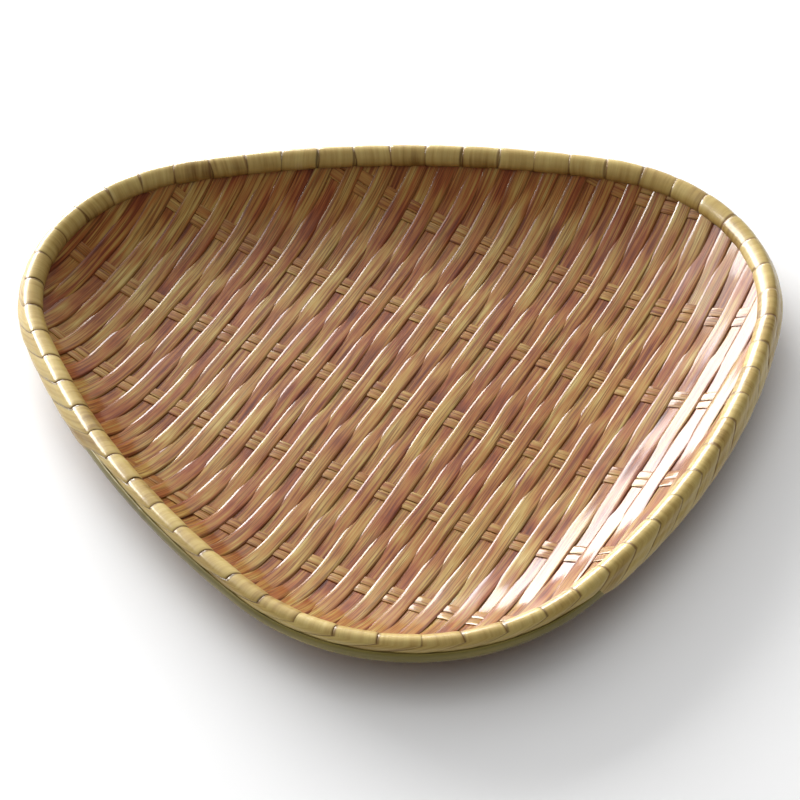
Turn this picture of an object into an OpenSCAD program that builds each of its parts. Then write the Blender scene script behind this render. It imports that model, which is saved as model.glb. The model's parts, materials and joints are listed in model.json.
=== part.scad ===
// Shallow winnowing basket: a woven split-bamboo mat pressed into a flat-floored bowl and
// clamped between two hoops, with a strip bound round the rim and a half-round hoop under it.
// Millimetres, +Z up. The origin is under the middle of the rim, on the plane it rests on.
// X runs across the broad far edge, and -Y points to the narrow near corner.

/* [Rim outline] */
// Centre of the right corner's arc
right_centre = [91.7, 65]; // [80:0.1:105]
// Centre of the left corner's arc
left_centre = [-95.3, 66]; // [-105:0.1:105]
// Centre of the near corner's arc
near_centre = [6.2, -63.5]; // [-75:0.1:15]
// Radius of the rim at the right corner
right_radius = 100; // [85:1:115]
// Radius of the rim at the left corner
left_radius = 97; // [85:1:115]
// Radius of the rim at the near corner
near_radius = 111; // [95:1:125]
// Radius of the far side
far_side_radius = 523; // [450:1:700]
// Radius of the left side
left_side_radius = 495; // [430:1:700]
// Radius of the right side
right_side_radius = 390; // [340:1:600]

/* [Bowl] */
// Height of the rim's middle above the floor of the mat
rim_rise = 27; // [20:1:34]
// Part of the way out to the rim over which the floor is flat
flat_share = 0.3; // [0.1:0.05:0.4]
// How suddenly the wall turns up; higher is more sudden
wall_power = 4.1; // [3.4:0.1:4.6]

/* [Weave] */
// Turn of the weave about the vertical, in degrees
weave_turn = -28.2; // [-45:0.1:45]
// Distance between neighbouring warps
warp_pitch = 7.5; // [7.2:0.1:9]
// Width of a warp strip
warp_width = 6.9; // [5:0.1:7]
// Thickness of a warp strip
warp_thick = 0.8; // [0.5:0.05:0.8]
// Distance between neighbouring pairs of wefts
weft_pitch = 61; // [55:1:65]
// Width of a weft strip
weft_width = 5.4; // [4:0.1:5.6]
// Thickness of a weft strip
weft_thick = 0.6; // [0.4:0.05:0.6]

/* [Rim] */
// Thickness of the flat inner and outer hoops
hoop_thick = 1.2; // [0.8:0.1:1.4]
// Width of the flat inner and outer hoops, up the wall
hoop_width = 8; // [6:0.5:8]
// Width of the bound rim, up the wall, without its binding
bound_width = 9.5; // [9.2:0.1:11]
// Thickness of the strip bound round the rim
wrap_thick = 0.5; // [0.3:0.1:0.8]
// Length of rim that each turn of the binding covers
wrap_turn_length = 20; // [10:1:30]

/* [Hidden] */
$fn = 64;

// ---- numbers of strips, and where the first one lies
warp_count = 49;
weft_count = 6;
first_warp = -207;
first_weft = 193.6;
pair_offset = 3.15;
// A place on every strip that is well inside the rim
warp_start = 15;
weft_start = 45;

// ---- how far the warps stand off the middle of the mat where they cross a pair of wefts
warp_lift = 1;
plateau = 1.3;
floor_height = warp_lift + warp_thick / 2;
rim_height = floor_height + rim_rise;

// ---- where the rings of a strip lie, measured from a pair of wefts
warp_rings = [-7, 0, 7, 18.5, 30.5, 42.5];
end_step = 8;
ring_margin = 3;

// ---- the rim's cross-section: x runs up the wall, y away from its middle
mean_radius = 188;
wall_angle = atan(rim_rise * wall_power / (1 - flat_share) / mean_radius);
slot_half = 2;
fit_gap = 0.05;
hoop_start = fit_gap - bound_width / 2;
cane_radius = 1.5;
cane_place = 2.4;
binding_half = slot_half + hoop_thick + fit_gap;
binding_bevel = 1.2;
lower_hoop_radius = bound_width / 2 - fit_gap;
lower_hoop_drop = binding_half + wrap_thick + fit_gap;
// The binding takes in the half-round hoop too, save on the near left between these directions
bare_from = -162;
bare_to = -58;
// Hairline joint between neighbouring lengths of a hoop, and gap between turns of the binding
hoop_joint = 0.02;
turn_gap = 0.25;

straw = [0.72, 0.64, 0.42];
skin = [0.47, 0.47, 0.33];
tan_strip = [0.69, 0.55, 0.38];
red_strip = [0.62, 0.42, 0.28];
pale_strip = [0.73, 0.66, 0.48];

function two_digits(i) = i < 10 ? str("0", i) : str(i);
function warp_name(i) = str("warp_", two_digits(i));
function weft_name(k) = str("weft_pair_", k);

// ---- the outline: three corner arcs and three side arcs, each tangent to its neighbours
corner_centres = [right_centre, left_centre, near_centre];
corner_radii = [right_radius, left_radius, near_radius];
side_radii = [far_side_radius, left_side_radius, right_side_radius];

function direction(v) = atan2(v[1], v[0]);
function unit(angle) = [cos(angle), sin(angle)];
function turn(from, to) = (to - from + 720) % 360;

// The centre of the side arc that runs from corner i to the next corner
function side_centre(i) =
    let (a = corner_centres[i],
         b = corner_centres[(i + 1) % 3],
         reach_a = side_radii[i] - corner_radii[i],
         reach_b = side_radii[i] - corner_radii[(i + 1) % 3],
         apart = norm(b - a),
         along = (b - a) / apart,
         foot = (reach_a ^ 2 - reach_b ^ 2 + apart ^ 2) / (2 * apart))
    a + along * foot + [-along[1], along[0]] * sqrt(reach_a ^ 2 - foot ^ 2);

side_centres = [for (i = [0 : 2]) side_centre(i)];

// Each arc as [centre, radius, first direction, turn], anticlockwise from the right corner
arcs = [
    for (i = [0 : 2])
        let (next = (i + 1) % 3,
             corner_from = direction(corner_centres[i] - side_centres[(i + 2) % 3]),
             corner_to = direction(corner_centres[i] - side_centres[i]),
             side_to = direction(corner_centres[next] - side_centres[i]))
        each [
            [corner_centres[i], corner_radii[i], corner_from, turn(corner_from, corner_to)],
            [side_centres[i], side_radii[i], corner_to, turn(corner_to, side_to)]
        ]
];

function arc_point(arc, share) = arc[0] + arc[1] * unit(arc[2] + arc[3] * share);
// The same arcs by their first direction and turn as seen from the origin
arc_views = [
    for (arc = arcs)
        let (from = direction(arc_point(arc, 0)))
        [from, turn(from, direction(arc_point(arc, 1)))]
];

// Distance from the origin to the outline in a given direction
function outline_radius(angle) =
    let (hits = [for (i = [0 : 5]) if (turn(arc_views[i][0], angle) <= arc_views[i][1]) arcs[i]],
         arc = len(hits) > 0 ? hits[0] : arcs[0],
         nearest = unit(angle) * arc[0])
    nearest + sqrt(nearest ^ 2 - arc[0] * arc[0] + arc[1] ^ 2);

// ---- the middle surface of the mat
function share_out(p) = norm(p) / outline_radius(direction(p));
function mat_height(p) =
    floor_height
    + rim_rise * pow(max(0, share_out(p) - flat_share) / (1 - flat_share), wall_power);

// A place in the weave, u along the wefts and v along the warps, as [x, y]
function in_plan(u, v) =
    [u * cos(weave_turn) - v * sin(weave_turn), u * sin(weave_turn) + v * cos(weave_turn)];

slope_step = 0.5;
// The point that stands off the mat's middle surface by lift, at a place in the weave
function mat_point(u, v, lift) =
    let (p = in_plan(u, v),
         z = mat_height(p),
         dx = (mat_height(p + [slope_step, 0]) - z) / slope_step,
         dy = (mat_height(p + [0, slope_step]) - z) / slope_step,
         steep = norm([dx, dy, 1]))
    [p[0] - lift * dx / steep, p[1] - lift * dy / steep, z + lift / steep];

// Distance from a start inside the rim to the outline, along a direction in the weave
function to_rim(start, along, near = 0, far = 420, tries = 22) =
    tries == 0 ? near
    : let (middle = (near + far) / 2,
           place = start + along * middle)
      share_out(in_plan(place[0], place[1])) < 1
          ? to_rim(start, along, middle, far, tries - 1)
          : to_rim(start, along, near, middle, tries - 1);

// ---- a strip: rings of two edge places each, turned into one closed solid
// Rings that lead from a square ring at place to the oblique end of a strip
function end_rings(place, ends) =
    let (steps = ceil(max(abs(ends[0] - place), abs(ends[1] - place)) / end_step))
    [for (k = [1 : steps]) [for (edge = ends) place + (edge - place) * k / steps]];

function backwards(list) = [for (k = [len(list) - 1 : -1 : 0]) list[k]];

// All rings of a strip, from its low ends to its high ends
function strip_rings(low, high, middles) =
    let (inside = [
             for (place = middles)
                 if (place > max(low) + ring_margin && place < min(high) - ring_margin) place],
         kept = len(inside) > 0 ? inside : [(max(low) + min(high)) / 2])
    concat(
        backwards(end_rings(kept[0], low)),
        [for (place = kept) [place, place]],
        end_rings(kept[len(kept) - 1], high));

module swept_strip(points) {
    rings = len(points) / 4;
    last = 4 * (rings - 1);
    polyhedron(
        points = points,
        faces = concat(
            [[2, 1, 0], [3, 2, 0]],
            [for (r = [0 : rings - 2], k = [0 : 3])
                let (here = 4 * r + k,
                     beside = 4 * r + (k + 1) % 4)
                each [[here, beside, beside + 4], [here, beside + 4, here + 4]]],
            [[last, last + 1, last + 2], [last, last + 2, last + 3]]));
}

// ---- warps: wide strips that pass over and under the pairs of wefts by turns
function warp_place(i) = first_warp + warp_pitch * (i - 1);
function weft_place(k) = first_weft - weft_pitch * (k - 1);
function warp_side(i) = i % 2 == 1 ? -1 : 1;
function warp_stand_off(i, v) =
    warp_side(i) * warp_lift
    * max(-1, min(1, plateau * cos(180 * (v - first_weft) / weft_pitch)));

module warp(i) {
    edges = [for (side = [-1, 1]) warp_place(i) + side * warp_width / 2];
    low = [for (u = edges) warp_start - to_rim([u, warp_start], [0, -1])];
    high = [for (u = edges) warp_start + to_rim([u, warp_start], [0, 1])];
    middles = [for (k = [weft_count : -1 : 0], ring = warp_rings) weft_place(k + 1) + ring];
    points = [
        for (ring = strip_rings(low, high, middles))
            each [
                for (corner = [[0, 1], [1, 1], [1, -1], [0, -1]])
                    let (v = ring[corner[0]],
                         lift = warp_stand_off(i, v) + corner[1] * warp_thick / 2)
                    mat_point(edges[corner[0]], v, lift)
            ]
    ];
    color([tan_strip, red_strip, pale_strip][(7 * i % 11) % 3])
        swept_strip(points);
}

// ---- wefts: narrow strips in pairs, that follow the middle of the mat
module weft_strip(place) {
    edges = [for (side = [-1, 1]) place + side * weft_width / 2];
    low = [for (v = edges) weft_start - to_rim([weft_start, v], [-1, 0])];
    high = [for (v = edges) weft_start + to_rim([weft_start, v], [1, 0])];
    middles = [for (i = [0 : warp_count]) warp_place(i) + warp_pitch / 2];
    points = [
        for (ring = strip_rings(low, high, middles))
            each [
                for (corner = [[0, -1], [1, -1], [1, 1], [0, 1]])
                    mat_point(ring[corner[0]], edges[corner[0]], corner[1] * weft_thick / 2)
            ]
    ];
    swept_strip(points);
}

module weft_pair(k) {
    color(pale_strip)
        for (side = [-1, 1])
            weft_strip(weft_place(k) + side * pair_offset);
}

// ---- the rim: sections swept along the outline's arcs
// Sweeps the children along one arc, from one share of it to another, less a gap at each end
module along_arc(arc, from, to, gap) {
    gap_angle = gap / arc[1] * 180 / PI;
    translate(arc[0])
        rotate([0, 0, arc[2] + arc[3] * from + gap_angle / 2])
            rotate_extrude(angle = arc[3] * (to - from) - gap_angle)
                translate([arc[1], rim_height])
                    rotate(wall_angle)
                        children();
}

module along_rim() {
    for (arc = arcs)
        along_arc(arc, 0, 1, hoop_joint)
            children();
}

module hoop_section(bottom) {
    translate([hoop_start, bottom])
        square([hoop_width, hoop_thick]);
}

module inner_hoop() {
    color(straw)
        along_rim()
            hoop_section(slot_half);
}

module outer_hoop() {
    color(straw)
        along_rim()
            hoop_section(-slot_half - hoop_thick);
}

// A thin cane that fills the rim above the cut ends of the mat
module rim_cane() {
    color(straw)
        along_rim()
            translate([cane_place, 0])
                circle(cane_radius);
}

module half_round(radius) {
    translate([0, -lower_hoop_drop])
        intersection() {
            circle(radius);
            translate([-2 * radius, -2 * radius])
                square([4 * radius, 2 * radius]);
        }
}

// Half-round hoop, flat side up against the bound rim
module lower_hoop() {
    color(skin)
        along_rim()
            half_round(lower_hoop_radius);
}

// Bevelled box round the hoops, larger by grow on every side
module bound_box(grow) {
    side = bound_width / 2 + grow;
    half = binding_half + grow;
    bevel = binding_bevel;
    polygon([
        [bevel - side, -half], [side - bevel, -half], [side, bevel - half], [side, half - bevel],
        [side - bevel, half], [bevel - side, half], [-side, half - bevel], [-side, bevel - half]
    ]);
}

// The same box with the half-round hoop below it taken in
module wide_bound_box(grow) {
    side = bound_width / 2 + grow;
    bound_box(grow);
    half_round(side);
    translate([-side, -lower_hoop_drop])
        square([2 * side, lower_hoop_drop]);
}

// The strip's section: round the hoops, and open below where the mat comes in
module binding_section(wide) {
    difference() {
        if (wide)
            wide_bound_box(wrap_thick);
        else
            bound_box(wrap_thick);
        if (wide)
            wide_bound_box(0);
        else
            bound_box(0);
        translate([-bound_width, -slot_half])
            square([bound_width, 2 * slot_half]);
    }
}

module rim_binding() {
    color(straw)
        for (arc = arcs) {
            turns = round(arc[1] * arc[3] * PI / 180 / wrap_turn_length);
            for (k = [0 : turns - 1]) {
                facing = direction(arc_point(arc, (k + 0.5) / turns));
                along_arc(arc, k / turns, (k + 1) / turns, turn_gap)
                    binding_section(facing < bare_from || facing > bare_to);
            }
        }
}

for (i = [1 : warp_count])
    warp(i);
for (k = [1 : weft_count])
    weft_pair(k);
inner_hoop();
outer_hoop();
rim_cane();
rim_binding();
lower_hoop();
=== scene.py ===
import json
import math

import bpy
import numpy as np
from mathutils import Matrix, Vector


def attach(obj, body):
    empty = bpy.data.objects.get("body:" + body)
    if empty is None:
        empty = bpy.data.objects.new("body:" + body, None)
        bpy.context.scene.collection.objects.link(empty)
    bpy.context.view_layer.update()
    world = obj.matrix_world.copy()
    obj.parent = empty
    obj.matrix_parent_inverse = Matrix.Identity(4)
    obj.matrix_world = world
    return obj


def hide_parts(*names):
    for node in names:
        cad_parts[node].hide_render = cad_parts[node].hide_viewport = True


# Looks of a winnowing basket of woven split bamboo, with a bound rim and a half-round hoop
# under it. Shapes are worked out in millimetres in the frame's axes and made in metres.

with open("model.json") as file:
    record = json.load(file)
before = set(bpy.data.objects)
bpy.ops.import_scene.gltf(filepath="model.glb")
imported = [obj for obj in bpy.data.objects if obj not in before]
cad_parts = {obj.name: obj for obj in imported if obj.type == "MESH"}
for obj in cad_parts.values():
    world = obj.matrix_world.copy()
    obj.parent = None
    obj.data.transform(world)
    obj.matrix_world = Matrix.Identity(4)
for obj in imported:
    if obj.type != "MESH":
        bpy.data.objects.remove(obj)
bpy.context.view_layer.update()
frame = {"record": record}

MM = 0.001
# The record's material slot of each CAD node.
SLOTS = {part["node"]: part["material_slot"] for part in frame["record"]["subparts"]}

# ---- the basket's measures, the same as in the CAD source
CORNER_CENTRES = ((91.7, 65.0), (-95.3, 66.0), (6.2, -63.5))
CORNER_RADII = (100.0, 97.0, 111.0)
SIDE_RADII = (523.0, 495.0, 390.0)
FLOOR_HEIGHT = 1.4
RIM_RISE = 27.0
RIM_HEIGHT = FLOOR_HEIGHT + RIM_RISE
FLAT_SHARE = 0.3
WALL_POWER = 4.1
WEAVE_TURN = math.radians(-28.2)
WARP_COUNT, WARP_PITCH, FIRST_WARP = 49, 7.5, -207.0
WEFT_COUNT, WEFT_PITCH, FIRST_WEFT, PAIR_OFFSET = 6, 61.0, 193.6, 3.15
MEAN_RADIUS = 188.0
WALL_ANGLE = math.atan(RIM_RISE * WALL_POWER / (1 - FLAT_SHARE) / MEAN_RADIUS)
LOWER_HOOP_DROP = 3.8
LOWER_HOOP_RADIUS = 4.7


# ---------------------------------------------------------------- shape of the rim and the mat
def direction(v):
    """The angle in plan at which a vector points."""
    return math.atan2(v[1], v[0])


def outline_arcs():
    """The rim's middle line as arcs of (centre, radius, first direction, turn), anticlockwise."""
    corners = [np.array(c) for c in CORNER_CENTRES]
    sides = []
    for i in range(3):
        a, b = corners[i], corners[(i + 1) % 3]
        reach_a = SIDE_RADII[i] - CORNER_RADII[i]
        reach_b = SIDE_RADII[i] - CORNER_RADII[(i + 1) % 3]
        apart = np.linalg.norm(b - a)
        along = (b - a) / apart
        foot = (reach_a**2 - reach_b**2 + apart**2) / (2 * apart)
        across = np.array([-along[1], along[0]])
        sides.append(a + along * foot + across * math.sqrt(reach_a**2 - foot**2))
    arcs = []
    for i in range(3):
        corner_from = direction(corners[i] - sides[(i + 2) % 3])
        corner_to = direction(corners[i] - sides[i])
        side_to = direction(corners[(i + 1) % 3] - sides[i])
        corner_turn = (corner_to - corner_from) % math.tau
        side_turn = (side_to - corner_to) % math.tau
        arcs.append((corners[i], CORNER_RADII[i], corner_from, corner_turn))
        arcs.append((sides[i], SIDE_RADII[i], corner_to, side_turn))
    return arcs


ARCS = outline_arcs()
RIM_LENGTH = sum(radius * turn for _, radius, _, turn in ARCS)


def rim_line(s):
    """Places along the rim's middle line and their outward directions, at lengths s from its start."""
    s = np.asarray(s) % RIM_LENGTH
    place = np.zeros(s.shape + (2,))
    outward = np.zeros(s.shape + (2,))
    begin = 0.0
    for centre, radius, first, turn in ARCS:
        here = (s >= begin) & (s <= begin + radius * turn)
        angle = first + (s[here] - begin) / radius
        unit = np.stack([np.cos(angle), np.sin(angle)], -1)
        outward[here] = unit
        place[here] = centre + radius * unit
        begin += radius * turn
    return place, outward


def outline_radius(angle):
    """Distance from the origin to the rim's middle line, in each direction."""
    out = np.full(np.shape(angle), MEAN_RADIUS)
    for centre, radius, first, turn in ARCS:
        ends = [centre + radius * np.array([math.cos(a), math.sin(a)]) for a in (first, first + turn)]
        view_from = direction(ends[0])
        view_turn = (direction(ends[1]) - view_from) % math.tau
        here = (angle - view_from) % math.tau <= view_turn
        nearest = np.cos(angle[here]) * centre[0] + np.sin(angle[here]) * centre[1]
        out[here] = nearest + np.sqrt(nearest**2 - centre @ centre + radius**2)
    return out


def share_out(x, y):
    """How far out a place lies, from 0 at the origin to 1 at the rim's middle line."""
    return np.hypot(x, y) / outline_radius(np.arctan2(y, x))


def mat_height(x, y):
    """Height of the mat's middle surface, level in the middle and steeper and steeper outside."""
    climb = np.clip(share_out(x, y) - FLAT_SHARE, 0, None) / (1 - FLAT_SHARE)
    return FLOOR_HEIGHT + RIM_RISE * climb**WALL_POWER


def in_plan(u, v):
    """A place in the weave, u along the wefts and v along the warps, in the frame's x and y."""
    cosine, sine = math.cos(WEAVE_TURN), math.sin(WEAVE_TURN)
    return u * cosine - v * sine, u * sine + v * cosine


def mat_points(u, v, lift):
    """Points that stand off the mat's middle surface by lift, at places in the weave."""
    step = 0.5
    x, y = in_plan(u, v)
    z = mat_height(x, y)
    dx = (mat_height(x + step, y) - z) / step
    dy = (mat_height(x, y + step) - z) / step
    steep = np.sqrt(dx**2 + dy**2 + 1)
    return np.stack([x - lift * dx / steep, y - lift * dy / steep, z + lift / steep], -1)


# A strip ends at this share of the way out to the rim's middle line. The place is found by
# halving the longest reach this many times.
END_SHARE = 0.995
LONGEST_REACH = 420.0
HALVINGS = 24


def reach(u, v, du, dv):
    """Distance from places inside the rim, in the weave's direction du, dv, to where a strip ends."""
    near, far = np.zeros(np.shape(u)), np.full(np.shape(u), LONGEST_REACH)
    for _ in range(HALVINGS):
        middle = (near + far) / 2
        inside = share_out(*in_plan(u + du * middle, v + dv * middle)) < END_SHARE
        near, far = np.where(inside, middle, near), np.where(inside, far, middle)
    return near


def waves(rng, size, shortest, longest, count=4):
    """A smooth seeded wander about 0, of about this size, made of waves of these lengths."""
    lengths = np.exp(rng.uniform(math.log(shortest), math.log(longest), count))
    phases = rng.uniform(0, math.tau, count)
    heights = rng.uniform(0.5, 1.0, count) / math.sqrt(count)

    def at(x):
        x = np.asarray(x)[..., None]
        return size * (heights * np.sin(math.tau * x / lengths + phases)).sum(-1)

    return at


# ---------------------------------------------------------------- meshes
def closed_sweep(points, closed=False):
    """Faces of rings of points joined one after the other, with flat ends unless it closes."""
    rings, around = points.shape[:2]
    last = rings if closed else rings - 1
    ring, point = np.meshgrid(np.arange(last), np.arange(around), indexing="ij")
    here, beyond = ring * around, (ring + 1) % rings * around
    beside = (point + 1) % around
    corners = [here + point, here + beside, beyond + beside, beyond + point]
    faces = np.stack(corners, -1).reshape(-1, 4).tolist()
    if not closed:
        faces.append(list(range(around - 1, -1, -1)))
        faces.append(list(range((rings - 1) * around, rings * around)))
    return faces


def strip_grain(across, along, number):
    """What a strip's material reads: mm across and along the strip, and a number of its own."""
    return np.stack(np.broadcast_arrays(across, along, number), -1)


def make_piece(name, parts, material, node):
    """One smooth mesh from parts of (points, faces, grain, rise), which stands for a CAD node."""
    points, faces, grain, rise = [], [], [], []
    count = 0
    for part_points, part_faces, part_grain, part_rise in parts:
        flat = part_points.reshape(-1, 3)
        points.append(flat)
        grain.append(part_grain.reshape(-1, 3))
        rise.append(part_rise.reshape(-1))
        faces.extend([[i + count for i in face] for face in part_faces])
        count += len(flat)
    mesh = bpy.data.meshes.new(name)
    mesh.from_pydata((np.concatenate(points) * MM).tolist(), [], faces)
    mesh.polygons.foreach_set("use_smooth", [True] * len(mesh.polygons))
    grains = mesh.attributes.new("grain", "FLOAT_VECTOR", "POINT")
    grains.data.foreach_set("vector", np.concatenate(grain).astype(np.float32).ravel())
    # The materials paint light and shade from this: paler where a strip rises, darker where it dips, and
    # shadow near a binding turn's seam.
    rises = mesh.attributes.new("rise", "FLOAT", "POINT")
    rises.data.foreach_set("value", np.concatenate(rise).astype(np.float32))
    mesh.materials.append(material)
    mesh.update()
    piece = bpy.data.objects.new(name, mesh)
    bpy.context.scene.collection.objects.link(piece)
    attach(piece, "root")
    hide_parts(node)


# ---------------------------------------------------------------- the weave
def mirrored(places):
    """Places between 0 and 1, joined by 0 and by their mirror images."""
    return np.array([-place for place in reversed(places)] + [0] + places)


# Each section is drawn through these places across it, closest together on its chamfers.
WARP_SECTION_TOP = mirrored([0.4, 0.73, 0.79, 0.85, 0.91, 0.97, 1])
WARP_SECTION_BOTTOM = mirrored([0.5, 0.96])[::-1]
WEFT_SECTION_TOP = mirrored([0.4, 0.75, 0.93, 1])
WEFT_SECTION_BOTTOM = mirrored([0.9])[::-1]
# The crown falls away gently over the whole width, and mostly in the chamfers at the edges.
ARCH_SHARE, CHAMFER_FROM, CHAMFER_POWER = 0.15, 0.75, 1.2
WARP_CROWN, WARP_TOP, WARP_BOTTOM = 0.38, 0.36, -0.35
WEFT_CROWN, WEFT_TOP, WEFT_BOTTOM = 0.26, 0.3, -0.3

# A warp's width between the wefts, over a pair of them and under a pair, how sharply it changes
# towards each, and how much warps differ. A warp rises and sinks by its lift, and never sinks
# nearer to the ground than the gap. A weft bows down under a warp that rises, and up over the next.
WARP_MID, WARP_OVER, WARP_UNDER = 8.9, 8.5, 9.6
OVER_POWER, UNDER_POWER = 2, 3
WARP_SPREAD = 0.035
WARP_LIFT = 0.48
FLOOR_GAP = 0.02
WEFT_WIDTH = 5.95
WEFT_BOW = 0.27

# Unevenness along a strip, each as its size and the shortest and longest waves in it.
WARP_WANDER, WARP_SWELL = (0.4, 60, 240), (0.07, 40, 160)
WARP_ROLL, WARP_SINK = (0.06, 60, 200), (0.06, 40, 160)
WEFT_WANDER, WEFT_SWELL = (0.15, 50, 200), (0.05, 30, 120)

# Where along them strips are measured from, and how close together their sections stand.
WARP_START, WEFT_START = 15.0, 45.0
WARP_STEP, WEFT_STEP = 2.0, 1.4
FEWEST_RINGS = 8

WARP_SEED, WEFT_SEED, WEFT_SEED_STEP = 71, 1071, 10
# Each strip's own number, which sets its grain apart, is drawn between 0 and this.
HIGHEST_NUMBER = 100


def section(top, bottom, crown, top_height, bottom_height):
    """A strip's closed section as places across, from -1 to 1, and heights."""
    chamfer = np.clip((np.abs(top) - CHAMFER_FROM) / (1 - CHAMFER_FROM), 0, 1) ** CHAMFER_POWER
    arch = ARCH_SHARE * top**2 + (1 - ARCH_SHARE) * chamfer
    across = np.concatenate([top, bottom])
    heights = np.concatenate([top_height - crown * arch, np.full(len(bottom), bottom_height)])
    return across, heights


def lengthwise(low, high, step):
    """Places along a strip between its slanting ends, one row for each of its sections."""
    rings = max(FEWEST_RINGS, math.ceil((high - low).max() / step))
    return low + (high - low) * np.linspace(0, 1, rings)[:, None]


def warp_state(i, v):
    """From 1 where warp i passes over a pair of wefts to -1 where it passes under one."""
    side = -1 if i % 2 == 1 else 1
    return side * np.cos(math.pi * (v - FIRST_WEFT) / WEFT_PITCH)


def warp_part(i):
    """Warp i, which is narrower over the wefts and wider under them, where its neighbours rise."""
    rng = np.random.default_rng(WARP_SEED + i)
    across, heights = section(WARP_SECTION_TOP, WARP_SECTION_BOTTOM, WARP_CROWN, WARP_TOP, WARP_BOTTOM)
    place = FIRST_WARP + WARP_PITCH * (i - 1)
    wander, swell = waves(rng, *WARP_WANDER), waves(rng, *WARP_SWELL)
    roll, sink = waves(rng, *WARP_ROLL), waves(rng, *WARP_SINK)
    size = rng.normal(1, WARP_SPREAD)
    u = place + across * WARP_OVER / 2
    start = np.full(u.shape, WARP_START)
    v = lengthwise(WARP_START - reach(u, start, 0, -1), WARP_START + reach(u, start, 0, 1), WARP_STEP)
    state = warp_state(i, v)
    width = WARP_MID + (WARP_OVER - WARP_MID) * np.clip(state, 0, 1) ** OVER_POWER
    width = width + (WARP_UNDER - WARP_MID) * np.clip(-state, 0, 1) ** UNDER_POWER
    half = width / 2 * (size + swell(v))
    # The warp climbs steeply between the wefts and levels off over and under them.
    stand = WARP_LIFT * state * (1.5 - 0.5 * state**2)
    lift = stand + heights + roll(v) * across + sink(v)
    lift = np.maximum(lift, FLOOR_GAP - FLOOR_HEIGHT)
    points = mat_points(place + wander(v) + across * half, v, lift)
    number = rng.uniform(0, HIGHEST_NUMBER)
    return points, closed_sweep(points), strip_grain(across * half, v, number), state


def weft_part(k, side):
    """One weft of pair k. Its sections are turned round, so that its faces point outwards."""
    rng = np.random.default_rng(WEFT_SEED + WEFT_SEED_STEP * k + side)
    across, heights = section(WEFT_SECTION_TOP, WEFT_SECTION_BOTTOM, WEFT_CROWN, WEFT_TOP, WEFT_BOTTOM)
    place = FIRST_WEFT - WEFT_PITCH * (k - 1) + side * PAIR_OFFSET
    wander, swell = waves(rng, *WEFT_WANDER), waves(rng, *WEFT_SWELL)
    v = place + across * WEFT_WIDTH / 2
    start = np.full(v.shape, WEFT_START)
    u = lengthwise(WEFT_START - reach(start, v, -1, 0), WEFT_START + reach(start, v, 1, 0), WEFT_STEP)
    warps_up = np.cos(math.pi * (u - FIRST_WARP) / WARP_PITCH) * (-1) ** k
    half = WEFT_WIDTH / 2 * (1 + swell(u))
    points = mat_points(u, place + wander(u) + across * half, heights - WEFT_BOW * warps_up)
    grain = strip_grain(across * half, u, rng.uniform(0, HIGHEST_NUMBER))
    return points[:, ::-1], closed_sweep(points), grain[:, ::-1], -warps_up[:, ::-1]


# ---------------------------------------------------------------- the rim
# The bound section, which is deeper where the binding also takes in the lower hoop. A crease
# then runs along it between the rim and the hoop.
BOUND_HALF_WIDTH, BOUND_HALF_HEIGHT = 5.2, 3.9
WIDE_DEPTH = 8.9
ROUNDNESS = 2.2
CREASE_DEPTH, CREASE_WIDTH, CREASE_PLACE = 0.45, 1.1, -3.9
# About the way round the section.
BOUND_GIRTH = 3.2 * (BOUND_HALF_WIDTH + BOUND_HALF_HEIGHT)

# The binding is STARTS strips wound side by side, whose seams come about TURN_LENGTH apart.
STARTS = 2
TURN_LENGTH = 20.0
TURN_COUNT = STARTS * round(RIM_LENGTH / TURN_LENGTH / STARTS)
TURN_PITCH = RIM_LENGTH / TURN_COUNT
OUTER_ADVANCE = STARTS * TURN_PITCH
RINGS_IN_TURN = 56
# Places across a binding strip, from 0 to 1. Its edges are rounded, its top is domed, and it is
# laid like a shingle, so that its higher edge covers the start of the next turn.
STRIP_TOP = np.array([0, 0.015, 0.05, 0.08, 0.11, 0.18, 0.32, 0.5, 0.68, 0.82, 0.9, 0.95, 0.985, 1])
STRIP_BOTTOM = np.array([0.97, 0.5, 0.03])
STRIP_THICKNESS, STRIP_ROUNDING, STRIP_DOME, STRIP_SHINGLE = 0.34, 0.035, 0.2, 0.34
# The share of the pitch by which a turn covers the next, and how far in mm the painted shadow reaches
# from each seam.
SEAM_COVER, SEAM_SHADOW_WIDTH = 0.065, 1.0
# Unevenness of a strip's width, as a share of the pitch, and of its course in mm, with waves
# given in rings along the strip.
BINDING_SWELL, BINDING_WOBBLE = (0.02, 20, 90), (0.8, 30, 120)
BINDING_SEED = 2071
# Steps in the number that sets the grain apart, from turn to turn and from strip to strip.
TURN_NUMBER_STEP, START_NUMBER_STEP = 1.37, 50

# The lower hoop is bare between these directions from the middle of the basket.
BARE_FROM, BARE_TO, BARE_BLEND = math.radians(-162), math.radians(-58), math.radians(11)

# The flat hoops and the cane inside the binding: the half sizes of their sections, and how far
# up the wall and to each side of the mat they lie. Their rings stand a step apart.
FLAT_HOOP_HALF_WIDTH, FLAT_HOOP_HALF_HEIGHT = 3.2, 0.55
FLAT_HOOP_RISE, FLAT_HOOP_OFFSET = -0.2, 2.5
CANE_RADIUS, CANE_RISE = 1.5, 2.4
FLAT_HOOP_ROUNDNESS, ROUND = 3.0, 2.0
BAR_POINTS = 20
BAR_STEP = 4.0

# The lower hoop: points round its half circle and along its flat side, which is a little raised.
LOWER_HOOP_ROUND_POINTS, LOWER_HOOP_FLAT_POINTS = 25, 7
LOWER_HOOP_HALF_FLAT, LOWER_HOOP_RAISE = 4.2, 0.15
LOWER_HOOP_STEP = 2.0

# Each hoop's own number, which sets its grain apart.
INNER_NUMBER, OUTER_NUMBER, CANE_NUMBER, LOWER_NUMBER = 3.0, 5.0, 7.0, 11.0

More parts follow.
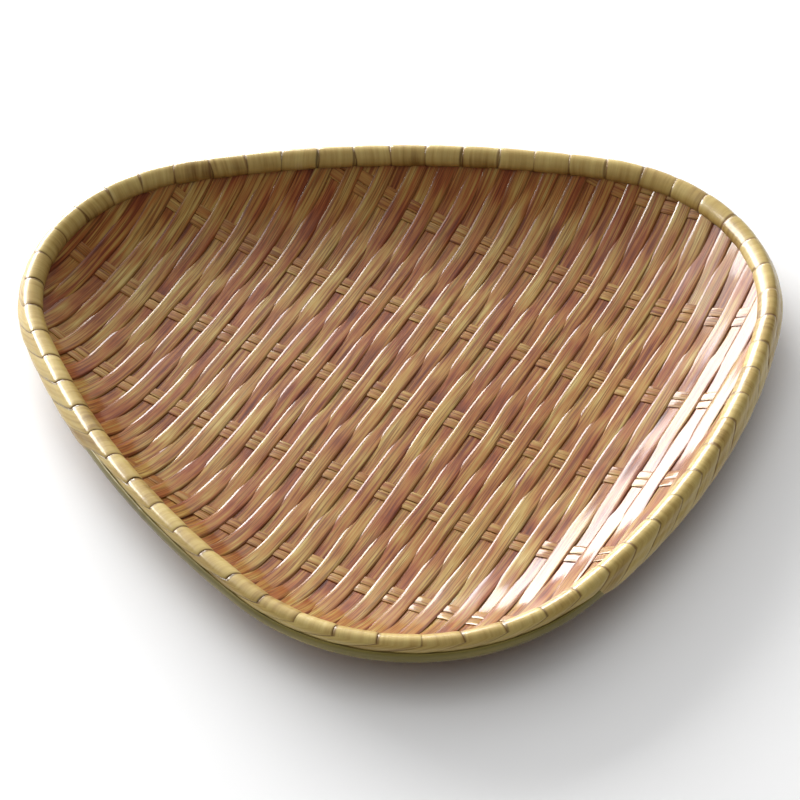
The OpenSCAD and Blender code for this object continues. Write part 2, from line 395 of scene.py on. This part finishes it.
# Bamboo nodes along the lower hoop, not quite evenly spaced: a low swelling and a groove on
# each side of it, as shares of the hoop's width.
NODE_SPACING, NODE_WANDER, NODE_WANDER_LENGTH = 171.0, 20.0, 190.0
NODE_SWELLING, NODE_SWELLING_WIDTH = 0.045, 2.2
NODE_GROOVE, NODE_GROOVE_WIDTH, NODE_GROOVE_PLACE = 0.02, 1.2, 3.4


def rim_points(s, x, y):
    """Points of the rim at lengths s, x up the slope of the wall and y square to it, to the inside."""
    place, outward = rim_line(s)
    cosine, sine = math.cos(WALL_ANGLE), math.sin(WALL_ANGLE)
    out = x * cosine - y * sine
    up = x * sine + y * cosine
    plan_x = place[..., 0] + outward[..., 0] * out
    plan_y = place[..., 1] + outward[..., 1] * out
    return np.stack(np.broadcast_arrays(plan_x, plan_y, RIM_HEIGHT + up), -1)


def smooth_step(t):
    """From 0 to 1 with a gentle start and end, as t goes from 0 to 1."""
    t = np.clip(t, 0, 1)
    return t * t * (3 - 2 * t)


def superellipse(angle, half_x, half_y, roundness):
    """Points round an oval, which is a true one at a roundness of 2 and squarer above that."""
    cosine, sine = np.cos(angle), np.sin(angle)
    x = half_x * np.sign(cosine) * np.abs(cosine) ** (2 / roundness)
    y = half_y * np.sign(sine) * np.abs(sine) ** (2 / roundness)
    return x, y


def wide_share(s):
    """1 where the binding also takes in the lower hoop, 0 where the hoop is bare."""
    place, _ = rim_line(s)
    facing = np.arctan2(place[..., 1], place[..., 0])
    after_start = smooth_step((facing - BARE_FROM) / BARE_BLEND + 0.5)
    before_end = smooth_step((BARE_TO - facing) / BARE_BLEND + 0.5)
    return 1 - after_start * before_end


def bound_section(theta, wide, grow):
    """The bound rim's section: theta 0 at the crest, positive over the inner side."""
    widened = BOUND_HALF_HEIGHT + wide * (WIDE_DEPTH - BOUND_HALF_HEIGHT)
    depth = np.where(np.sin(theta) < 0, widened, BOUND_HALF_HEIGHT)
    x, y = superellipse(theta, BOUND_HALF_WIDTH + grow, depth + grow, ROUNDNESS)
    crease = CREASE_DEPTH * np.exp(-(((y - CREASE_PLACE) / CREASE_WIDTH) ** 2))
    return x - np.where(np.cos(theta) > 0, wide * crease, 0), y


def binding_part(start):
    """One of the strips wound round the rim. It crosses the crest and the inner side squarely and
    moves on along the rim while it passes outside."""
    rng = np.random.default_rng(BINDING_SEED + start)
    across = np.concatenate([STRIP_TOP, STRIP_BOTTOM])
    rounded = STRIP_THICKNESS * (1 - np.exp(-np.minimum(STRIP_TOP, 1 - STRIP_TOP) / STRIP_ROUNDING))
    domed = STRIP_DOME * (1 - (2 * STRIP_TOP - 1) ** 2)
    heights = np.concatenate([rounded + domed, np.zeros(len(STRIP_BOTTOM))])
    ring = np.arange(RINGS_IN_TURN * (TURN_COUNT // STARTS))
    turn = ring // RINGS_IN_TURN
    theta = math.pi - math.tau * (ring % RINGS_IN_TURN) / RINGS_IN_TURN
    outside = np.clip(-theta / math.pi, 0, 1)
    advance = np.sin(outside * math.pi / 2)
    width = TURN_PITCH * (1 + SEAM_COVER + waves(rng, *BINDING_SWELL)(ring)[:, None])
    wobble = waves(rng, *BINDING_WOBBLE)(ring)[:, None]
    seam = start * TURN_PITCH - (turn + advance)[:, None] * OUTER_ADVANCE
    s = seam + wobble + across * width
    x, y = bound_section(theta[:, None], wide_share(s), STRIP_SHINGLE * across + heights)
    points = rim_points(s, x, y)
    along = ring * (BOUND_GIRTH / RINGS_IN_TURN)
    number = turn * TURN_NUMBER_STEP + start * START_NUMBER_STEP
    grain = strip_grain(across * width, along[:, None], number[:, None])
    # Distance in mm from the nearest seam, from which the material paints shadow along the seams.
    from_seam = np.minimum(np.abs(across - SEAM_COVER), 1 - across) * TURN_PITCH
    return points, closed_sweep(points, closed=True), grain, np.broadcast_to(from_seam, s.shape)


def swept_part(x, y, step, number, swell=None):
    """A hoop of one closed section, swept all round the rim."""
    s = np.linspace(0, RIM_LENGTH, round(RIM_LENGTH / step), endpoint=False)[:, None]
    grow = 1 + (swell(s) if swell else 0)
    points = rim_points(s, x * grow, y)
    around = np.cumsum(np.hypot(np.diff(x, prepend=x[0]), np.diff(y, prepend=y[0])))
    grain = strip_grain(around, s, number)
    return points, closed_sweep(points, closed=True), grain, np.zeros(points.shape[:2])


def rounded_bar(half_width, half_height, centre_x, centre_y, roundness):
    """A bar's closed section, round or with rounded corners."""
    angle = -np.linspace(0, math.tau, BAR_POINTS, endpoint=False)
    x, y = superellipse(angle, half_width, half_height, roundness)
    return centre_x + x, centre_y + y


def flat_hoop_part(side, number):
    """A flat hoop that clamps the edge of the mat, inside it for side 1 and outside for side -1."""
    size = (FLAT_HOOP_HALF_WIDTH, FLAT_HOOP_HALF_HEIGHT)
    x, y = rounded_bar(*size, FLAT_HOOP_RISE, side * FLAT_HOOP_OFFSET, FLAT_HOOP_ROUNDNESS)
    return swept_part(x, y, BAR_STEP, number)


def cane_part():
    """The thin cane over the edge of the mat."""
    x, y = rounded_bar(CANE_RADIUS, CANE_RADIUS, CANE_RISE, 0.0, ROUND)
    return swept_part(x, y, BAR_STEP, CANE_NUMBER)


def node_swelling(s):
    """Low swellings of a bamboo hoop at its nodes."""
    place = (s + NODE_WANDER * np.sin(s / NODE_WANDER_LENGTH)) % NODE_SPACING
    off = np.minimum(place, NODE_SPACING - place)
    swelling = NODE_SWELLING * np.exp(-((off / NODE_SWELLING_WIDTH) ** 2))
    groove = NODE_GROOVE * np.exp(-(((off - NODE_GROOVE_PLACE) / NODE_GROOVE_WIDTH) ** 2))
    return swelling - groove


def lower_hoop_part():
    """Half-round hoop with its flat side up against the bound rim and bamboo nodes in it."""
    bend = np.linspace(0, -math.pi, LOWER_HOOP_ROUND_POINTS)
    flat = np.linspace(-LOWER_HOOP_HALF_FLAT, LOWER_HOOP_HALF_FLAT, LOWER_HOOP_FLAT_POINTS)
    x = np.concatenate([LOWER_HOOP_RADIUS * np.cos(bend), flat])
    flat_height = np.full(LOWER_HOOP_FLAT_POINTS, LOWER_HOOP_RAISE)
    y = np.concatenate([LOWER_HOOP_RADIUS * np.sin(bend), flat_height]) - LOWER_HOOP_DROP
    return swept_part(x, y, LOWER_HOOP_STEP, LOWER_NUMBER, node_swelling)


# ---------------------------------------------------------------- materials
NOISE_RANGE = (0.3, 0.7)
NOISE_ROUGHNESS = 0.55
SPECULAR_LEVEL = 0.12

# Kinds of noise along a strip: a shift that keeps them apart, and how much detail each has.
FIBRE_KINDS = {"fine": (0.0, 4.0), "broad": (31.7, 2.0), "patch": (67.1, 1.0), "veins": (12.9, 1.0)}
PATCH_WIDTH = 60.0

# A strip's shades go from its darkest lines to its palest streaks. The lean, about 0.5, says
# where between them a strip's middle tone lies.
SHADE_STOPS = (0.0, 0.27, 0.5, 0.75, 1.0)
# A strip leans this much paler where it rises, as painted light, and as much darker where it dips, as
# painted shade. Its dark veins lie between these heights of their noise, and the painted shade along its
# edges, where it meets its neighbours, lies between these mm from its middle.
RISE_PAINTED_SHADING = 0.1
VEIN_FROM, VEIN_TO, VEIN_DARKNESS = 0.53, 0.61, 0.6
EDGE_SHADE_FROM, EDGE_SHADE_TO, EDGE_SHADE_DARKNESS = 3.2, 4.2, 0.6
WARP_LOOKS = {
    "warp_tan": (
        "split_bamboo_tan", 0.5,
        [(92, 38, 12), (140, 78, 32), (158, 106, 48), (164, 128, 64), (182, 156, 88)],
    ),
    "warp_red": (
        "split_bamboo_red", 0.46,
        [(88, 34, 10), (136, 68, 28), (154, 96, 44), (160, 120, 56), (178, 148, 82)],
    ),
    "warp_pale": (
        "split_bamboo_pale", 0.54,
        [(96, 44, 14), (144, 84, 36), (162, 114, 54), (170, 136, 70), (186, 162, 96)],
    ),
}
WEFT_LOOK = (
    "split_bamboo_weft", 0.5,
    [(90, 40, 12), (138, 80, 34), (156, 106, 50), (162, 122, 62), (176, 144, 80)],
)
HOOP_LOOK = (
    "hoop_bamboo", 0.5,
    [(100, 60, 28), (150, 108, 62), (170, 134, 82), (180, 154, 98), (194, 176, 120)],
)
BINDING_STOPS = (0.0, 0.35, 0.7, 1.0)
BINDING_SHADES = [(127, 96, 46), (175, 147, 83), (193, 169, 102), (208, 187, 129)]
# The painted shadow along the seams is brown in some turns and nearly black in others.
SEAM_SHADOW_BROWN, SEAM_SHADOW_BLACK, SEAM_SHADOW_DARKNESS = (96, 54, 24), (30, 16, 8), 0.9
BLACK_SHADOW_FROM, BLACK_SHADOW_TO = 0.5, 0.62
SKIN_STOPS = (0.0, 0.4, 0.75, 1.0)
SKIN_SHADES = [(86, 78, 34), (116, 104, 50), (134, 120, 60), (148, 132, 70)]


def srgb(red, green, blue):
    """A colour given in 0 to 255 steps, as Blender's linear numbers."""
    def linear(c):
        c /= 255
        return c / 12.92 if c <= 0.04045 else ((c + 0.055) / 1.055) ** 2.4
    return (linear(red), linear(green), linear(blue), 1)


class Graph:
    """A material's node tree, with short calls for the nodes used here."""

    def __init__(self, name):
        self.material = bpy.data.materials.new(name)
        self.material.use_nodes = True
        self.tree = self.material.node_tree
        self.tree.nodes.clear()

    def add(self, kind, inputs=(), **settings):
        node = self.tree.nodes.new("ShaderNode" + kind)
        for key, value in settings.items():
            setattr(node, key, value)
        for key, value in dict(inputs).items():
            if isinstance(value, bpy.types.NodeSocket):
                self.tree.links.new(value, node.inputs[key])
            else:
                node.inputs[key].default_value = value
        return node

    def math(self, operation, a, b=0.0):
        return self.add("Math", {0: a, 1: b}, operation=operation).outputs[0]

    def attribute(self, name, output):
        return self.add("Attribute", attribute_name=name, attribute_type="GEOMETRY").outputs[output]

    def combine(self, x, y, z):
        return self.add("CombineXYZ", {0: x, 1: y, 2: z}).outputs[0]

    def noise(self, vector, detail):
        inputs = {"Vector": vector, "Scale": 1.0, "Detail": detail, "Roughness": NOISE_ROUGHNESS}
        return self.add("TexNoise", inputs).outputs[0]

    def span(self, value, from_low, from_high, to_low=0.0, to_high=1.0):
        """A value's range carried over to another range, and held at its ends."""
        inputs = {0: value, 1: from_low, 2: from_high, 3: to_low, 4: to_high}
        return self.add("MapRange", inputs, clamp=True).outputs[0]

    def vary(self, noise, low, high):
        """A noise's usual range carried over to low and high."""
        return self.span(noise, *NOISE_RANGE, low, high)

    def ramp(self, value, stops, shades):
        """The colour at a value between 0 and 1, from shades at these stops."""
        node = self.add("ValToRGB", {0: value})
        elements = node.color_ramp.elements
        while len(elements) < len(stops):
            elements.new(0.5)
        for element, stop, shade in zip(elements, stops, shades):
            element.position = stop
            element.color = srgb(*shade)
        return node.outputs[0]

    def mix(self, share, a, b, blend="MIX"):
        return self.add("Mix", {0: share, 6: a, 7: b}, data_type="RGBA", blend_type=blend).outputs[2]

    def shade(self, colour, factor):
        """A colour made lighter or darker by a factor."""
        return self.mix(1.0, colour, self.combine(factor, factor, factor), "MULTIPLY")

    def relief(self, fine, fine_share, broad, broad_share):
        """Height of the grain, from fine and broad noise."""
        fine_relief = self.math("MULTIPLY", fine, fine_share)
        return self.math("ADD", fine_relief, self.math("MULTIPLY", broad, broad_share))

    def surface(self, colour, roughness, height, bump, coat, coat_roughness):
        """The finished material: its colour, relief of the height that is bump metres deep, and
        a clear coat over it."""
        relief = self.add("Bump", {"Height": height, "Strength": 1.0, "Distance": bump})
        shader = self.add("BsdfPrincipled", {
            "Base Color": colour,
            "Roughness": roughness,
            "Normal": relief.outputs[0],
            "Specular IOR Level": SPECULAR_LEVEL,
            "Coat Weight": coat,
            "Coat Roughness": coat_roughness,
        })
        output = self.add("OutputMaterial")
        self.tree.links.new(shader.outputs[0], output.inputs[0])
        return self.material


class StripGraph(Graph):
    """A node tree that knows the mm across and along a strip, and the strip's own number."""

    def __init__(self, name):
        super().__init__(name)
        grain = self.attribute("grain", "Vector")
        self.across, self.along, self.number = self.add("SeparateXYZ", {0: grain}).outputs

    def fibres(self, kind, width, length):
        """Noise drawn out along the strip, with streaks about this wide and long in mm."""
        shift, detail = FIBRE_KINDS[kind]
        x = self.math("MULTIPLY", self.across, 1 / width)
        y = self.math("MULTIPLY", self.along, 1 / length)
        z = self.math("ADD", self.number, shift)
        return self.noise(self.combine(x, y, z), detail)


def strip_material(name, lean, shades):
    """Varnished split bamboo: fibres along the strip, with painted light where it rises and painted
    shade, redder and darker, where it dips and at its edges.
    """
    g = StripGraph(name)
    dark = srgb(*shades[0])
    fine = g.fibres("fine", 0.4, 16.0)
    broad = g.fibres("broad", 1.7, 38.0)
    patch = g.fibres("patch", PATCH_WIDTH, 22.8)
    veins = g.fibres("veins", 0.64, 35.2)
    streaks = g.math("ADD", g.vary(broad, -0.34, 0.34), g.vary(patch, -0.18, 0.18))
    # Painted light where the strip rises and painted shade where it dips under its neighbours.
    middle = g.span(g.attribute("rise", "Fac"), -1.0, 1.0, lean - RISE_PAINTED_SHADING, lean + RISE_PAINTED_SHADING)
    colour = g.ramp(g.math("ADD", streaks, middle), SHADE_STOPS, shades)
    colour = g.shade(colour, g.vary(fine, 0.84, 1.1))
    colour = g.mix(g.span(veins, VEIN_FROM, VEIN_TO, 0.0, VEIN_DARKNESS), colour, dark)
    # Painted shade along the strip's edges, where it meets its neighbours.
    edge = g.span(g.math("ABSOLUTE", g.across), EDGE_SHADE_FROM, EDGE_SHADE_TO)
    colour = g.mix(g.math("MULTIPLY", edge, EDGE_SHADE_DARKNESS), colour, dark)
    height = g.relief(fine, 0.6, broad, 0.8)
    return g.surface(colour, g.vary(fine, 0.34, 0.5), height, bump=0.0001, coat=0.6, coat_roughness=0.12)


def binding_material():
    """Strip bound round the rim: tan and olive, with fine grain across the rim and painted shadow
    along its seams, brown or nearly black.
    """
    g = StripGraph("binding_strip")
    fine = g.fibres("fine", 0.5, 12.0)
    broad = g.fibres("broad", 2.6, 24.0)
    patch = g.fibres("patch", PATCH_WIDTH, 14.4)
    tone = g.math("ADD", g.vary(broad, 0.2, 0.6), g.vary(patch, -0.2, 0.35))
    colour = g.ramp(tone, BINDING_STOPS, BINDING_SHADES)
    colour = g.shade(colour, g.vary(fine, 0.93, 1.05))
    # Painted shadow along each seam, where one turn's edge lies over the next.
    seam_shadow = g.span(g.attribute("rise", "Fac"), 0.0, SEAM_SHADOW_WIDTH, 1.0, 0.0)
    # A noise for each turn that makes its painted seam shadow brown or nearly black.
    seam_shadow_noise = g.noise(g.combine(g.number, 0.0, 0.0), 1.0)
    black_shadow_share = g.span(seam_shadow_noise, BLACK_SHADOW_FROM, BLACK_SHADOW_TO)
    seam_shadow_colour = g.mix(black_shadow_share, srgb(*SEAM_SHADOW_BROWN), srgb(*SEAM_SHADOW_BLACK))
    colour = g.mix(g.math("MULTIPLY", seam_shadow, SEAM_SHADOW_DARKNESS), colour, seam_shadow_colour)
    height = g.relief(fine, 0.6, broad, 0.6)
    return g.surface(colour, g.vary(fine, 0.36, 0.5), height, bump=0.0001, coat=0.7, coat_roughness=0.2)


def skin_material():
    """Smooth grey-green bamboo skin with faint grain."""
    g = StripGraph("bamboo_skin")
    fine = g.fibres("fine", 0.6, 40.0)
    broad = g.fibres("broad", 2.2, 120.0)
    patch = g.fibres("patch", PATCH_WIDTH, 72.0)
    tone = g.math("ADD", g.vary(broad, 0.1, 0.6), g.vary(patch, -0.1, 0.4))
    colour = g.ramp(tone, SKIN_STOPS, SKIN_SHADES)
    colour = g.shade(colour, g.vary(fine, 0.92, 1.05))
    return g.surface(colour, g.vary(broad, 0.32, 0.46), fine, bump=0.00006, coat=0.5, coat_roughness=0.25)


def floor_material():
    """Plain pale studio floor with a very faint mottling."""
    g = Graph("studio_floor")
    place = g.add("TexCoord").outputs["Object"]
    scaled = g.add("VectorMath", {0: place, 3: 6.0}, operation="SCALE").outputs[0]
    cloud = g.noise(scaled, 2.0)
    shade = g.vary(cloud, 0.9, 0.92)
    colour = g.combine(shade, shade, shade)
    return g.surface(colour, g.vary(cloud, 0.85, 0.9), cloud, bump=0.0001, coat=0.0, coat_roughness=0.5)


# ---------------------------------------------------------------- the pieces
def build_mat():
    """The strips. Each warp's slot in the record says which of the three shades it has."""
    warp_looks = {slot: strip_material(*look) for slot, look in WARP_LOOKS.items()}
    for i in range(1, WARP_COUNT + 1):
        node = f"warp_{i:02d}"
        make_piece(f"warp_strip_{i:02d}", [warp_part(i)], warp_looks[SLOTS[node]], node)
    weft_look = strip_material(*WEFT_LOOK)
    for k in range(1, WEFT_COUNT + 1):
        parts = [weft_part(k, side) for side in (-1, 1)]
        make_piece(f"weft_strips_{k}", parts, weft_look, f"weft_pair_{k}")


def build_rim():
    """The hoops, the cane, the binding wound round them and the hoop below."""
    hoop_look = strip_material(*HOOP_LOOK)
    inner, outer = flat_hoop_part(1, INNER_NUMBER), flat_hoop_part(-1, OUTER_NUMBER)
    turns = [binding_part(start) for start in range(STARTS)]
    make_piece("flat_hoop_inner", [inner], hoop_look, "inner_hoop")
    make_piece("flat_hoop_outer", [outer], hoop_look, "outer_hoop")
    make_piece("cane_filler", [cane_part()], hoop_look, "rim_cane")
    make_piece("bound_strip", turns, binding_material(), "rim_binding")
    make_piece("half_round_hoop", [lower_hoop_part()], skin_material(), "lower_hoop")


# ---------------------------------------------------------------- the studio
FLOOR_HALF_SIZE = 6.0
# The surroundings brighten towards this direction, between these cosines of the angle from it.
BRIGHT_TOWARDS = (-0.5, 0.8, 0.3)
DIM_TO, BRIGHT_FROM = 0.25, 0.95
FRONT_LIGHT, BACK_LIGHT = 0.1, 1.5

CAMERA_PLACE = (-0.0004, -0.9965, 1.0140)
CAMERA_TILT = math.radians(44.87)
CAMERA_LENS, CAMERA_SENSOR, CAMERA_FAR = 124.63, 36, 50


def studio_world():
    """White surroundings, bright behind the basket and dim in front of it."""
    world = bpy.data.worlds.new("studio")
    world.use_nodes = True
    tree = world.node_tree
    toward = tree.nodes.new("ShaderNodeTexCoord").outputs["Generated"]
    dot = tree.nodes.new("ShaderNodeVectorMath")
    dot.operation = "DOT_PRODUCT"
    dot.inputs[1].default_value = Vector(BRIGHT_TOWARDS).normalized()
    span = tree.nodes.new("ShaderNodeMapRange")
    for place, value in enumerate((DIM_TO, BRIGHT_FROM, FRONT_LIGHT, BACK_LIGHT), start=1):
        span.inputs[place].default_value = value
    tree.links.new(toward, dot.inputs[0])
    tree.links.new(dot.outputs["Value"], span.inputs[0])
    tree.links.new(span.outputs[0], tree.nodes["Background"].inputs[1])
    tree.nodes["Background"].inputs[0].default_value = (1, 1, 1, 1)
    return world


def studio_floor():
    """The ground under the basket, which isn't part of it."""
    half = FLOOR_HALF_SIZE
    corners = [(-half, -half, 0), (half, -half, 0), (half, half, 0), (-half, half, 0)]
    mesh = bpy.data.meshes.new("studio_floor")
    mesh.from_pydata(corners, [], [(0, 1, 2, 3)])
    mesh.materials.append(floor_material())
    floor = bpy.data.objects.new("studio_floor", mesh)
    bpy.context.scene.collection.objects.link(floor)


def softbox(name, toward, distance, size, power, mirrored=True, lighting=True):
    """A rectangular light in this direction from the origin, which faces it."""
    light = bpy.data.lights.new(name, "AREA")
    light.shape = "RECTANGLE"
    light.size, light.size_y = size
    light.energy = power
    lamp = bpy.data.objects.new(name, light)
    toward = Vector(toward).normalized()
    lamp.location = toward * distance
    lamp.rotation_euler = toward.to_track_quat("Z", "Y").to_euler()
    lamp.visible_glossy = mirrored
    lamp.visible_diffuse = lighting
    bpy.context.scene.collection.objects.link(lamp)


def build_studio():
    """The window lights the basket and shows in its gloss. The two gleams only show in the gloss,
    and the overhead fill only lights."""
    studio_floor()
    bpy.context.scene.world = studio_world()
    softbox("window_back_left", (-0.5, 0.82, 0.3), distance=1.9, size=(1.8, 0.86), power=74)
    softbox("gleam_high", (-0.5, 0.58, 0.64), distance=1.9, size=(1.2, 0.8), power=12, lighting=False)
    softbox("gleam_left", (-0.76, 0.36, 0.5), distance=1.9, size=(1.0, 0.8), power=50, lighting=False)
    softbox("fill_overhead", (0.0, -0.2, 1.0), distance=2.0, size=(2.4, 2.4), power=16, mirrored=False)


def build_camera():
    """The camera at the viewing angle of the photograph, looking down at the basket."""
    camera = bpy.data.cameras.new("photo_view")
    camera.lens = CAMERA_LENS
    camera.sensor_width = CAMERA_SENSOR
    camera.clip_end = CAMERA_FAR
    eye = bpy.data.objects.new("photo_view", camera)
    eye.location = CAMERA_PLACE
    eye.rotation_euler = (CAMERA_TILT, 0, 0)
    bpy.context.scene.collection.objects.link(eye)
    bpy.context.scene.camera = eye


build_mat()
build_rim()
build_studio()
build_camera()
bpy.context.scene.view_settings.view_transform = "Standard"
